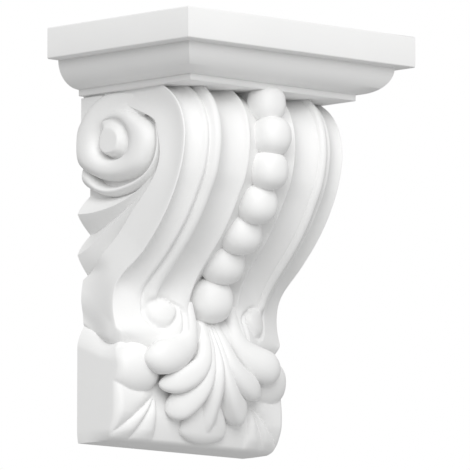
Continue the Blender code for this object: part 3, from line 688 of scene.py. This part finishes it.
def lobe(name, points, back=2.0, tip_share=0.2):
    """A rounded lobe along its middle line: an ellipse across it, drawn in to a blunt tip as a half ellipse.

    A back below 2 is sharper, above 2 flatter: the lift is (1 - |across| ^ back) ^ (1/2 + (2 - back) / 3).
    Its underside reaches deeper, to meet the belly.
    """
    rows, fine, deeper = 44, 120, 2.2
    path = spline(points, fine)
    share = 1 - (1 - np.linspace(0, 1, rows)) ** 1.5
    path = np.stack([np.interp(share, np.linspace(0, 1, fine), path[:, k]) for k in range(5)], axis=1)
    tangent = np.gradient(path[:, :3], axis=0)
    tangent /= np.linalg.norm(tangent, axis=1)[:, None]
    lean = 0.25 if path[-1, 0] else 0.0
    outward = np.array([lean, 1.0, 0.0])
    outward = outward - tangent * (tangent @ outward)[:, None]
    outward /= np.linalg.norm(outward, axis=1)[:, None]
    beside = np.cross(tangent, outward)
    tip = np.clip((share - 1 + tip_share) / (tip_share * 1.002), 0, 1)
    tip = np.sqrt(np.clip(1 - tip ** 2, 0.003, 1))[:, None]
    turn = np.linspace(0, 2 * np.pi, 28, endpoint=False)
    above = np.clip(1 - np.abs(np.cos(turn)) ** back, 0, 1) ** (0.5 + (2 - back) / 3)
    lift = np.where(np.sin(turn) < 0, np.sin(turn) * deeper, above)
    loops = (path[:, None, :3] + beside[:, None] * (path[:, 3:4] * tip * np.cos(turn))[..., None]
             + outward[:, None] * (path[:, 4:5] * tip * lift)[..., None])
    return loft(name, in_metres(loops))


def leaf():
    """The acanthus leaf: three lobes a side, and a middle blade in a cup, over a low belly."""
    for points, back, tip_share in zip(LOBES, LOBE_BACKS, LOBE_TIPS):
        yield lobe("lobe", points, back, tip_share)
    yield lobe("middle_lobe", CUP)
    yield lobe("blade", BLADE, back=BLADE_BACK)
    yield dome("belly", BELLY, BELLY_RADII, around=32, rings=17)


def shells(sizes):
    """Every shell of the casting, in the order in which they are joined."""
    yield shelf(sizes)
    yield scroll(sizes)
    yield from core()
    yield side_volute()
    yield from sepals()
    yield from beads(sizes)
    yield foot(sizes)
    yield from leaf()


def wall_block():
    """A block that holds everything behind the wall, from the left to the right."""
    behind, across, below, above = 40, 200, -90, 310
    outline = [(0, below), (-behind, below), (-behind, above), (0, above)]
    loops = [[(x, *place) for place in outline] for x in (-across, across)]
    return loft("wall", in_metres(np.array(loops, dtype=float)))


def joined(items):
    """All shells as one: united one by one, cut off at the wall, and the right half mirrored."""
    body, wall = items[0], wall_block()
    for item, operation in [(item, "UNION") for item in items[1:]] + [(wall, "DIFFERENCE")]:
        step = body.modifiers.new(item.name, "BOOLEAN")
        step.operation = operation
        step.solver = "MANIFOLD"
        step.object = item
    mirror = body.modifiers.new("left like right", "MIRROR")
    mirror.use_axis = (True, False, False)
    mirror.use_bisect_axis = (True, False, False)
    mirror.bisect_threshold = 1e-6
    mirror.merge_threshold = 1e-6
    graph = bpy.context.evaluated_depsgraph_get()
    mesh = bpy.data.meshes.new_from_object(body.evaluated_get(graph))
    body.modifiers.clear()
    body.data = mesh
    for item in items[1:] + [wall]:
        bpy.data.objects.remove(item)
    return body


def open_edges(mesh):
    """How many edges don't lie between exactly two faces. It also prints the mesh's triangles and volume."""
    shell = bmesh.new()
    shell.from_mesh(mesh)
    count = sum(len(edge.link_faces) != 2 for edge in shell.edges)
    triangles = sum(len(face.verts) - 2 for face in shell.faces)
    print("casting", triangles, "triangles", count, "open edges", "volume", shell.calc_volume(signed=True))
    shell.free()
    return count


class Nodes:
    """Adds nodes to a material: a node's type, its settings, then the values or links of its sockets."""

    def __init__(self, material):
        material.use_nodes = True
        self.tree = material.node_tree
        self.tree.nodes.clear()

    def add(self, kind, settings=None, **sockets):
        """A socket is named with _ for a space, or by its number after an i."""
        node = self.tree.nodes.new(kind)
        for name, value in (settings or {}).items():
            setattr(node, name, value)
        for name, value in sockets.items():
            numbered = name[0] == "i" and name[1:].isdigit()
            self.feed(node.inputs[int(name[1:]) if numbered else name.replace("_", " ")], value)
        return node

    def feed(self, target, value):
        """Links a socket to a value, or sets it."""
        if isinstance(value, Value):
            self.tree.links.new(value.socket, target)
        elif isinstance(value, bpy.types.NodeSocket):
            self.tree.links.new(value, target)
        else:
            target.default_value = value


class Value:
    """A number that varies over the surface. Its operators add Math nodes."""

    def __init__(self, nodes, socket):
        self.nodes, self.socket = nodes, socket

    def math(self, operation, *values):
        node = self.nodes.tree.nodes.new("ShaderNodeMath")
        node.operation = operation
        for target, value in zip(node.inputs, values):
            self.nodes.feed(target, value)
        return Value(self.nodes, node.outputs[0])

    def __add__(self, other):
        return self.math("ADD", self, other)

    def __radd__(self, other):
        return self.math("ADD", other, self)

    def __sub__(self, other):
        return self.math("SUBTRACT", self, other)

    def __rsub__(self, other):
        return self.math("SUBTRACT", other, self)

    def __mul__(self, other):
        return self.math("MULTIPLY", self, other)

    def __rmul__(self, other):
        return self.math("MULTIPLY", other, self)

    def clamped(self):
        return self.math("MINIMUM", self.math("MAXIMUM", self, 0.0), 1.0)


def white_primer(look):
    """Matt white primer over hard foam: faint clouds in the coat, and a fine spray grain on a soft flow."""
    material = bpy.data.materials.new("white_primer")
    nodes = Nodes(material)
    place = nodes.add("ShaderNodeTexCoord").outputs["Object"]

    def noise(scale, detail=2.0, roughness=0.5):
        node = nodes.add("ShaderNodeTexNoise", Vector=place, Scale=scale, Detail=detail, Roughness=roughness)
        return Value(nodes, node.outputs["Fac"])

    clouds = noise(22.0, detail=3.0)
    grain = noise(1700.0, roughness=0.6)
    flow = noise(120.0)
    colour = nodes.add("ShaderNodeMix", {"data_type": "RGBA"}, i0=((clouds - 0.5) * 1.6 + 0.5).clamped(),
                       i6=(*look.paint_shade, 1.0), i7=(*look.paint_colour, 1.0))
    rough = (look.roughness + (clouds - 0.5) * 0.08 + (grain - 0.5) * 0.10).clamped()
    bump = nodes.add("ShaderNodeBump", Strength=0.35, Distance=0.0004, Height=grain * 0.22 + flow * 0.3)
    shader = nodes.add("ShaderNodeBsdfPrincipled", Base_Color=colour.outputs[2], Roughness=rough,
                       Normal=bump.outputs["Normal"], Metallic=0.0, Specular_IOR_Level=look.sheen)
    nodes.add("ShaderNodeOutputMaterial", Surface=shader.outputs["BSDF"])
    return material


def plain_material(name, colour, roughness):
    """A plain even finish for the stage."""
    material = bpy.data.materials.new(name)
    nodes = Nodes(material)
    shader = nodes.add("ShaderNodeBsdfPrincipled", Base_Color=(*colour, 1.0), Roughness=roughness)
    nodes.add("ShaderNodeOutputMaterial", Surface=shader.outputs["BSDF"])
    return material


def a_length(name, description, default):
    """A length property in metres."""
    return bpy.props.FloatProperty(name=name, description=description, default=default, min=0.0,
                                   unit="LENGTH", precision=4)


def a_share(name, description, default, low=0.0, high=1.0):
    """A property between two limits, as a share."""
    return bpy.props.FloatProperty(name=name, description=description, default=default, min=low, max=high,
                                   subtype="FACTOR")


def a_strength(name, description, default):
    """A light's strength."""
    return bpy.props.FloatProperty(name=name, description=description, default=default, min=0.0)


def a_colour(name, description, default):
    """A colour property."""
    return bpy.props.FloatVectorProperty(name=name, description=description, size=3, default=default,
                                         min=0.0, max=1.0, subtype="COLOR")


class CorbelSizes(bpy.types.PropertyGroup):
    """Sizes of the mouldings and the carving."""

    fascia_height: a_length("Fascia height", "Height of the shelf's flat front", 0.0168)
    fascia_ease: a_length("Fascia edge", "Rounding of the fascia's edges", 0.0009)
    soffit_step: a_length("Soffit step", "How far the soffit steps in under the fascia", 0.0078)
    ovolo_out: a_length("Ovolo reach", "How far the quarter-round moulding comes out", 0.0147)
    ovolo_drop: a_length("Ovolo height", "Height of the quarter-round moulding", 0.0144)
    fillet_height: a_length("Fillet height", "Height of the flat band under the ovolo", 0.0034)
    scroll_width: a_length("Scroll width", "Width across the scroll's outer arrises", 0.1150)
    heel_width: a_length("Heel width", "Width across the scroll at its heel", 0.1190)
    strip_width: a_length("Bead strip width", "Width of the strip that the beads lie in", 0.0332)
    foot_width: a_length("Foot width", "Width of the foot block", 0.1208)
    foot_depth: a_length("Foot depth", "Depth of the foot block at its middle", 0.0322)
    bead_size: a_share("Bead size", "Size of the beads against the drawn ones", 1.0, low=0.5, high=1.2)


class CorbelLook(bpy.types.PropertyGroup):
    """Colours and finish."""

    paint_colour: a_colour("Primer", "Colour of the primer coat", (0.90, 0.90, 0.895))
    paint_shade: a_colour("Primer, thin", "Colour where the coat is thinner", (0.875, 0.875, 0.87))
    roughness: a_share("Roughness", "How matt the primer is", 0.52)
    sheen: a_share("Surface gloss", "Strength of the primer's soft highlight", 0.42)
    floor_colour: a_colour("Floor", "Colour of the floor", (0.62, 0.62, 0.62))
    key_power: a_strength("Key light", "Strength of the large light at the front left", 20.5)
    fill_power: a_strength("Fill light", "Strength of the weak light at the front right", 4.0)
    room_light: a_strength("Room light", "Strength of the even light all round", 0.54)


class CORBEL_OT_casting(bpy.types.Operator):
    """Build the casting as one surface in place of the plain solid"""

    bl_idname = "corbel.casting"
    bl_label = "Corbel casting"

    def execute(self, context):
        body = joined(list(shells(context.scene.corbel_sizes)))
        body.name = body.data.name = "corbel_casting"
        count = open_edges(body.data)
        if count:
            raise RuntimeError(f"the casting has {count} open edges")
        body.data.materials.clear()
        body.data.materials.append(white_primer(context.scene.corbel_look))
        body.data.shade_smooth()
        body.data.set_sharp_from_angle(angle=np.radians(SHARP_ANGLE))
        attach(body, "root")
        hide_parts("corbel")
        return {"FINISHED"}


class CORBEL_OT_stage(bpy.types.Operator):
    """Build the floor, the lights and the camera"""

    bl_idname = "corbel.stage"
    bl_label = "Stage"

    def execute(self, context):
        look = context.scene.corbel_look
        self.floor(context, look.floor_colour)
        self.room(context, look.room_light)
        self.light(context, "key", KEY_PLACE, look.key_power)
        self.light(context, "fill", FILL_PLACE, look.fill_power)
        context.scene.view_settings.view_transform = "Standard"
        self.camera(context)
        return {"FINISHED"}

    def floor(self, context, shade):
        """A pale floor, well below the corbel and the camera."""
        mesh = bpy.data.meshes.new("floor")
        corners = [(-1, -1), (1, -1), (1, 1), (-1, 1)]
        places = [(x * FLOOR_REACH, y * FLOOR_REACH, FLOOR_UP) for x, y in corners]
        mesh.from_pydata(places, [], [[0, 1, 2, 3]])
        item = bpy.data.objects.new("floor", mesh)
        context.scene.collection.objects.link(item)
        mesh.materials.append(plain_material("floor_paint", shade, 0.9))

    def room(self, context, power):
        """Even white light all round, which the camera sees as plain white."""
        studio = bpy.data.worlds.new("studio")
        context.scene.world = studio
        studio.use_nodes = True
        nodes, links = studio.node_tree.nodes, studio.node_tree.links
        background = nodes["Background"]
        background.inputs["Color"].default_value = (1.0, 1.0, 1.0, 1.0)
        seen = nodes.new("ShaderNodeLightPath").outputs["Is Camera Ray"]
        glow = nodes.new("ShaderNodeMapRange")
        glow.inputs["To Min"].default_value = power
        glow.inputs["To Max"].default_value = 1.0
        links.new(seen, glow.inputs["Value"])
        links.new(glow.outputs["Result"], background.inputs["Strength"])

    def light(self, context, name, place, power):
        """A square area light aimed at the corbel's middle."""
        lamp = bpy.data.lights.new(name, "AREA")
        lamp.size = LIGHT_SIZE
        lamp.energy = power
        item = bpy.data.objects.new(name, lamp)
        item.location = place
        item.rotation_mode = "QUATERNION"
        item.rotation_quaternion = (Vector(LIGHT_AIM) - item.location).to_track_quat("-Z", "Y")
        context.scene.collection.objects.link(item)

    def camera(self, context):
        """The photograph's camera: 43 degrees to the left, 7 degrees up, a long lens from 4.8 metres."""
        lens = bpy.data.cameras.new("camera")
        lens.sensor_width = SENSOR
        lens.lens = FOCAL_PIXELS / FRAME_PIXELS * lens.sensor_width
        lens.clip_start, lens.clip_end = 0.1, 60.0
        lens.dof.use_dof = False
        item = bpy.data.objects.new("camera", lens)
        turn = Matrix((Vector(CAMERA_RIGHT), Vector(CAMERA_UP), -Vector(CAMERA_FORWARD))).transposed()
        item.rotation_mode = "QUATERNION"
        item.rotation_quaternion = turn.to_quaternion()
        x, y, up = CAMERA_PLACE
        item.location = (x, y, up + CAD_BOX[0].z)
        context.scene.collection.objects.link(item)
        context.scene.camera = item


class CORBEL_PT_panel(bpy.types.Panel):
    """The corbel's sizes, finish and operators"""

    bl_idname = "CORBEL_PT_panel"
    bl_label = "Corbel"
    bl_space_type = "VIEW_3D"
    bl_region_type = "UI"
    bl_category = "Corbel"

    def draw(self, context):
        for group in (context.scene.corbel_sizes, context.scene.corbel_look):
            for name in group.bl_rna.properties.keys():
                if name not in ("rna_type", "name"):
                    self.layout.prop(group, name)
        self.layout.operator(CORBEL_OT_casting.bl_idname)
        self.layout.operator(CORBEL_OT_stage.bl_idname)


CLASSES = (CorbelSizes, CorbelLook, CORBEL_OT_casting, CORBEL_OT_stage, CORBEL_PT_panel)


def register():
    for item in CLASSES:
        bpy.utils.register_class(item)
    bpy.types.Scene.corbel_sizes = bpy.props.PointerProperty(type=CorbelSizes)
    bpy.types.Scene.corbel_look = bpy.props.PointerProperty(type=CorbelLook)


def unregister():
    del bpy.types.Scene.corbel_look
    del bpy.types.Scene.corbel_sizes
    for item in reversed(CLASSES):
        bpy.utils.unregister_class(item)


def main():
    register()
    bpy.ops.corbel.casting()
    bpy.ops.corbel.stage()


if __name__ == "__main__":
    main()
